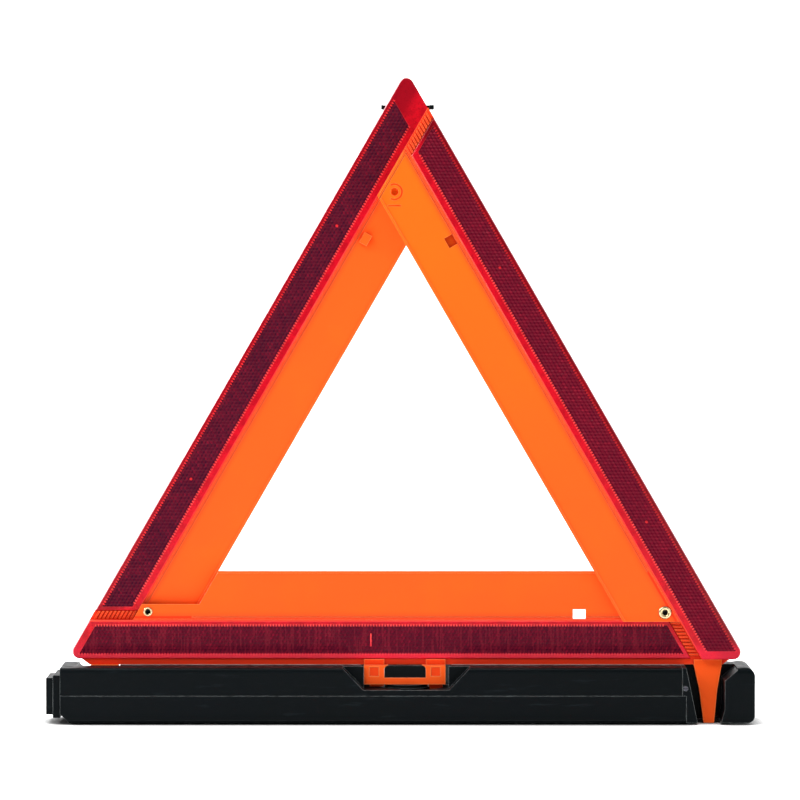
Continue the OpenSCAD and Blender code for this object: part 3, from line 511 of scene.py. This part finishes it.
def new_piece(name, mesh_maker, materials, body):
    """Makes a piece from a bmesh, fixes its normals and lets it ride on its body."""
    shape = bmesh.new()
    mesh_maker(shape)
    bmesh.ops.recalc_face_normals(shape, faces=shape.faces)
    mesh = bpy.data.meshes.new(name)
    shape.to_mesh(mesh)
    shape.free()
    for material in materials:
        mesh.materials.append(material)
    piece = bpy.data.objects.new(name, mesh)
    bpy.context.scene.collection.objects.link(piece)
    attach(piece, body)
    return piece


def loop_edges(shape, points, w):
    verts = [shape.verts.new((u, v, w)) for u, v in points]
    return verts, [shape.edges.new((a, b)) for a, b in zip(verts, verts[1:] + verts[:1])]


def wall(shape, top, low):
    """Joins two loops of the same length with quads."""
    for i in range(len(top)):
        j = (i + 1) % len(top)
        shape.faces.new((top[i], top[j], low[j], low[i]))


def border_shape(bar, matrix):
    """Tray with a bright border round a sunk field; a chamfer runs round its outer edge."""
    def make(shape):
        top_w, chamfer = LENS_TOP - RIM_DROP, 0.6 * MM
        crest, crest_edges = loop_edges(shape, outline(chamfer), top_w)
        skirt, _ = loop_edges(shape, outline(), top_w - chamfer)
        foot, _ = loop_edges(shape, outline(), CORE_HALF)
        inner, inner_edges = loop_edges(shape, dark_zone(bar), top_w)
        sunk, _ = loop_edges(shape, dark_zone(bar), FIELD_BASE)
        bmesh.ops.triangle_fill(shape, use_beauty=True, edges=crest_edges + inner_edges)
        wall(shape, crest, skirt)
        wall(shape, skirt, foot)
        wall(shape, inner, sunk)
        shape.faces.new(foot)
        shape.faces.new(sunk)
        shape.transform(matrix)
    return make


def hex_field(bar, matrix, seed):
    """Cube-corner prisms: each hexagonal cell is three tilted rhombs, cut off at the field's edges."""
    def make(shape):
        rng = random.Random(seed)
        corners = [Vector((u, v, 0)) for u, v in dark_zone(bar)]
        tone_and_facet_shade = shape.faces.layers.float.new("tone_and_facet_shade")
        step_u, step_v = CELL_R * math.sqrt(3), CELL_R * 1.5
        u_low, u_high = min(c.x for c in corners), max(c.x for c in corners)
        v_low, v_high = corners[0].y, corners[2].y
        known = {}

        def vert(u, v, level):
            key = (round(u / (CELL_R * 0.2)), round(v / (CELL_R * 0.2)))
            if key not in known:
                known[key] = shape.verts.new((u, v, FIELD_TOP - FIELD_DEPTH * (1 - level / 2)))
            return known[key]

        for row in range(-1, int((v_high - v_low) / step_v) + 3):
            v = v_low + row * step_v
            shift = step_u / 2 if row % 2 else 0
            for column in range(-2, int((u_high - u_low) / step_u) + 3):
                u = u_low + column * step_u + shift
                if not (near_u(0, v) - step_u < u < far_u(LENS_FAR, v) + step_u):
                    continue
                cell = rng.random()
                ring = []
                for k in range(6):
                    a = math.radians(30 + 60 * k)
                    ring.append(vert(u + CELL_R * math.cos(a), v + CELL_R * math.sin(a), 1 + k % 2))
                middle = vert(u, v, 0)
                for k in (0, 2, 4):
                    rhomb = shape.faces.new((middle, ring[k], ring[k + 1], ring[(k + 2) % 6]))
                    # Partly random per cell and facet, partly painted shade: the three rhombs of a cell
                    # point three ways and get three steps lighter or darker.
                    rhomb[tone_and_facet_shade] = 0.3 * cell + 0.5 * k / 4 + 0.2 * rng.random()
        for a, b in zip(corners, corners[1:] + corners[:1]):
            along = (b - a).normalized()
            everything = shape.verts[:] + shape.edges[:] + shape.faces[:]
            bmesh.ops.bisect_plane(shape, geom=everything, plane_co=a, plane_no=(along.y, -along.x, 0),
                                   clear_outer=True, dist=1e-7)
        rim = [e for e in shape.edges if e.is_boundary]
        skirt = bmesh.ops.extrude_edge_only(shape, edges=rim)["geom"]
        for v in skirt:
            if isinstance(v, bmesh.types.BMVert):
                v.co.z = FIELD_BASE
        bottom = [e for e in skirt if isinstance(e, bmesh.types.BMEdge) and e.is_boundary]
        bmesh.ops.contextual_create(shape, geom=bottom)
        shape.transform(matrix)
    return make


def add_box(shape, u, v, w, matrix):
    """A box from three (low, high) pairs, in the bar's frame."""
    verts = [shape.verts.new(matrix @ Vector((x, y, z))) for x in u for y in v for z in w]
    for face in ((0, 1, 3, 2), (4, 6, 7, 5), (0, 4, 5, 1), (2, 3, 7, 6), (0, 2, 6, 4), (1, 5, 7, 3)):
        shape.faces.new([verts[i] for i in face])


def rib_shape(bar, matrix):
    """Fine ribs across both long borders, beside the prism field."""
    def make(shape):
        pitch, width, length = 1.9 * MM, 0.9 * MM, 1.5 * MM
        low, high = FIELD_BASE + 0.1 * MM, LENS_TOP
        for v in (RIM_OUT - 0.7 * MM, LENS_W - RIM_IN[bar] - length + 0.7 * MM):
            start = near_u(DARK_START[bar], v)
            count = int((far_u(LENS_FAR + 3 * MM, v) - start) / pitch)
            for i in range(count):
                u = start + i * pitch
                add_box(shape, (u, u + width), (v, v + length), (low, high), matrix)
    return make


def gate_shape(bar, matrix):
    """Marks of the mould's gates: two round ones on each arm, one upright line on the bottom bar."""
    def make(shape):
        if bar == "bottom":
            u, v = LINE_ALONG, LENS_W / 2
            add_box(shape, (u, u + 0.9 * MM), (v - 4.5 * MM, v + 4 * MM),
                    (FIELD_BASE, LENS_TOP - 0.1 * MM), matrix)
            return
        for u in GATES_ALONG:
            place = matrix @ Matrix.Translation((u, LENS_W / 2 - 1 * MM, LENS_TOP - 0.55 * MM))
            bmesh.ops.create_cone(shape, cap_ends=True, segments=20, radius1=1.2 * MM, radius2=0.8 * MM,
                                  depth=1.0 * MM, matrix=place)
    return make


for bar_name in BARS:
    body_name = BAR_BODY[bar_name]
    to_row = bar_matrix(bar_name)
    for face_name, face_sign in (("front", 1), ("rear", -1)):
        flip = to_row @ Matrix.Diagonal((1, 1, face_sign, 1))
        seed_value = 10 * BARS[bar_name] + face_sign
        tag = f"{bar_name}_{face_name}"
        border = new_piece(f"{tag}_reflector_border", border_shape(bar_name, flip),
                           [BORDERS[bar_name]], body_name)
        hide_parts(f"{bar_name}_lens_{face_name}")
        for suffix, maker, material in (
            ("prisms", hex_field(bar_name, flip, seed_value), PRISMS[bar_name]),
            ("ribs", rib_shape(bar_name, flip), RIBS[bar_name]),
            ("gates", gate_shape(bar_name, flip), RIBS[bar_name]),
        ):
            part = new_piece(f"{tag}_reflector_{suffix}", maker, [material], body_name)


# ---------------------------------------------------------------- eyelets

LATHE_STEPS = 48
SHANK_R = 2.4 * MM
END_T = 0.8 * MM              # thickness of an eyelet's closed end
AXIS_R = 0.02 * MM            # a profile stops this short of its axis

def lathe_shape(axis_point, profile):
    """Turns a closed loop of (radius, depth) points about an axis along Y; depth 0 is at axis_point."""
    def make(shape):
        rings = []
        for k in range(LATHE_STEPS):
            a = 2 * math.pi * k / LATHE_STEPS
            rings.append([shape.verts.new((axis_point.x + r * math.cos(a), axis_point.y + d,
                                           axis_point.z + r * math.sin(a))) for r, d in profile])
        for ring, after in zip(rings, rings[1:] + rings[:1]):
            for i in range(len(profile)):
                j = (i + 1) % len(profile)
                shape.faces.new((ring[i], ring[j], after[j], after[i]))
    return make


def eyelet(name, pivot, material, body, front_r, front_t, back_r, back_t):
    """Turned metal eyelet: crested rim and open bore in front, domed closed end behind."""
    low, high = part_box(name)
    length = high.y - low.y
    crest = (front_r + BORE_R) / 2
    profile = [(BORE_R, front_t), (BORE_R, length - END_T), (AXIS_R, length - END_T), (AXIS_R, length),
               (back_r - 0.8 * MM, length), (back_r - 0.2 * MM, length - back_t * 0.5),
               (back_r, length - back_t), (SHANK_R, length - back_t), (SHANK_R, front_t), (front_r, front_t)]
    half_w = front_r - crest
    for k in range(1, 12):
        a = math.pi * k / 12
        profile.append((crest + half_w * math.cos(a), front_t * (1 - math.sin(a))))
    turned = lathe_shape(Vector((pivot.x, low.y, pivot.z)), profile)
    piece = new_piece(f"{name}_turned", turned, [material], body)
    for polygon in piece.data.polygons:
        polygon.use_smooth = True
    piece.data.set_sharp_from_angle(angle=math.radians(35))
    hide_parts(name)


eyelet("right_eyelet", RIGHT_PIVOT, RIGHT_EYELET, "bottom_bar", 4.4 * MM, 1.2 * MM, 3.2 * MM, 1.0 * MM)
eyelet("left_eyelet", LEFT_PIVOT, LEFT_EYELET, "bottom_bar", 3.2 * MM, 1.0 * MM, 4.4 * MM, 1.2 * MM)


# ---------------------------------------------------------------- floor, light and camera

def studio():
    """Pale sweep behind and under the object."""
    depth_front, depth_back, height, radius, half_w = 4.0, 1.6, 3.5, 0.8, 5.0
    profile = [(-depth_front, 0.0), (depth_back - radius, 0.0)]
    for k in range(1, 13):
        a = math.radians(90 * k / 12)
        profile.append((depth_back - radius + radius * math.sin(a), radius - radius * math.cos(a)))
    profile.append((depth_back, height))
    mesh = bpy.data.meshes.new("sweep")
    verts = [(x, y, z) for y, z in profile for x in (-half_w, half_w)]
    faces = [(2 * i, 2 * i + 1, 2 * i + 3, 2 * i + 2) for i in range(len(profile) - 1)]
    mesh.from_pydata(verts, [], faces)
    for polygon in mesh.polygons:
        polygon.use_smooth = True
    sweep = bpy.data.objects.new("sweep", mesh)
    bpy.context.scene.collection.objects.link(sweep)
    g = Graph("paper")
    cloud = g.noise(0.6, 2.0)
    pale = g.mix(cloud, (0.86, 0.86, 0.86), (0.9, 0.9, 0.9))
    # Painted contact shadow: the floor is darker and glows less in hollows under and beside the object.
    corner = g.hollow(18 * MM)
    glow = g.math("MULTIPLY", g.math("SUBTRACT", 1.0, corner), 0.45)
    # The lamps don't reach the floor's far end, so the camera sees it brighter than it lights the scene.
    away = g.add("ShaderNodeVectorMath", operation="LENGTH")
    g.put(g.point, away.inputs[0])
    far = g.math("MULTIPLY", g.smooth(away.outputs["Value"], 1.2, 2.6),
                 g.add("ShaderNodeLightPath").outputs["Is Camera Ray"])
    glow = g.math("ADD", glow, g.math("MULTIPLY", far, 0.7))
    pale = g.mix(g.math("MULTIPLY", corner, 0.8), pale, srgb(40, 40, 40))
    g.set(Base_Color=pale, Roughness=0.9, Specular_IOR_Level=0.1)
    g.set(Emission_Color=pale, Emission_Strength=glow)
    # Only the front face shows, so a camera behind the wall still sees the object.
    one_sided = g.add("ShaderNodeMixShader")
    g.put(g.add("ShaderNodeNewGeometry").outputs["Backfacing"], one_sided.inputs[0])
    g.put(g.shader.outputs[0], one_sided.inputs[1])
    g.put(g.add("ShaderNodeBsdfTransparent").outputs[0], one_sided.inputs[2])
    output = next(n for n in g.tree.nodes if n.type == "OUTPUT_MATERIAL")
    g.put(one_sided.outputs[0], output.inputs["Surface"])
    mesh.materials.append(g.material)
    sweep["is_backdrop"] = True


def area_light(name, place, target, size, power):
    data = bpy.data.lights.new(name, "AREA")
    data.shape = "RECTANGLE"
    data.size, data.size_y = size
    data.energy = power
    light = bpy.data.objects.new(name, data)
    light.location = place
    light.rotation_euler = (Vector(target) - Vector(place)).to_track_quat("-Z", "Y").to_euler()
    bpy.context.scene.collection.objects.link(light)


def lights():
    aim = (0, 0, 0.2)
    area_light("key", (-1.3, -1.7, 1.9), aim, (1.4, 1.0), 30)
    area_light("fill", (1.9, -1.5, 1.0), aim, (1.4, 1.4), 8)
    area_light("top", (0.1, 0.2, 2.2), aim, (1.6, 0.8), 14)
    area_light("left_edge", (-1.6, 0.05, 1.1), aim, (1.0, 0.4), 30)
    area_light("paper_light", (0, 0.4, 2.6), (0, 1.6, 0.9), (3.0, 0.6), 45)
    world = bpy.data.worlds.new("studio_air")
    world.use_nodes = True
    tree = world.node_tree
    background = tree.nodes["Background"]
    background.inputs["Color"].default_value = (1, 1, 1, 1)
    seen, lit = 1.0, 0.3
    strength = tree.nodes.new("ShaderNodeMath")
    strength.operation = "MULTIPLY_ADD"
    tree.links.new(tree.nodes.new("ShaderNodeLightPath").outputs["Is Camera Ray"], strength.inputs[0])
    strength.inputs[1].default_value = seen - lit
    strength.inputs[2].default_value = lit
    tree.links.new(strength.outputs[0], background.inputs["Strength"])
    bpy.context.scene.world = world


def camera():
    elevation, azimuth = math.radians(2.0), math.radians(0.0)
    distance, frame_w = 3.0, 0.53
    low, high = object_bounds()
    target = Vector(((low.x + high.x) / 2, 0, (low.z + high.z) / 2))
    back = Vector((math.sin(azimuth) * math.cos(elevation), -math.cos(azimuth) * math.cos(elevation),
                   math.sin(elevation)))
    data = bpy.data.cameras.new("camera")
    data.lens = data.sensor_width * distance / frame_w
    eye = bpy.data.objects.new("camera", data)
    eye.location = target + back * distance
    eye.rotation_euler = (-back).to_track_quat("-Z", "Y").to_euler()
    bpy.context.scene.collection.objects.link(eye)
    bpy.context.scene.camera = eye


studio()
lights()
camera()
bpy.context.scene.view_settings.view_transform = "Standard"
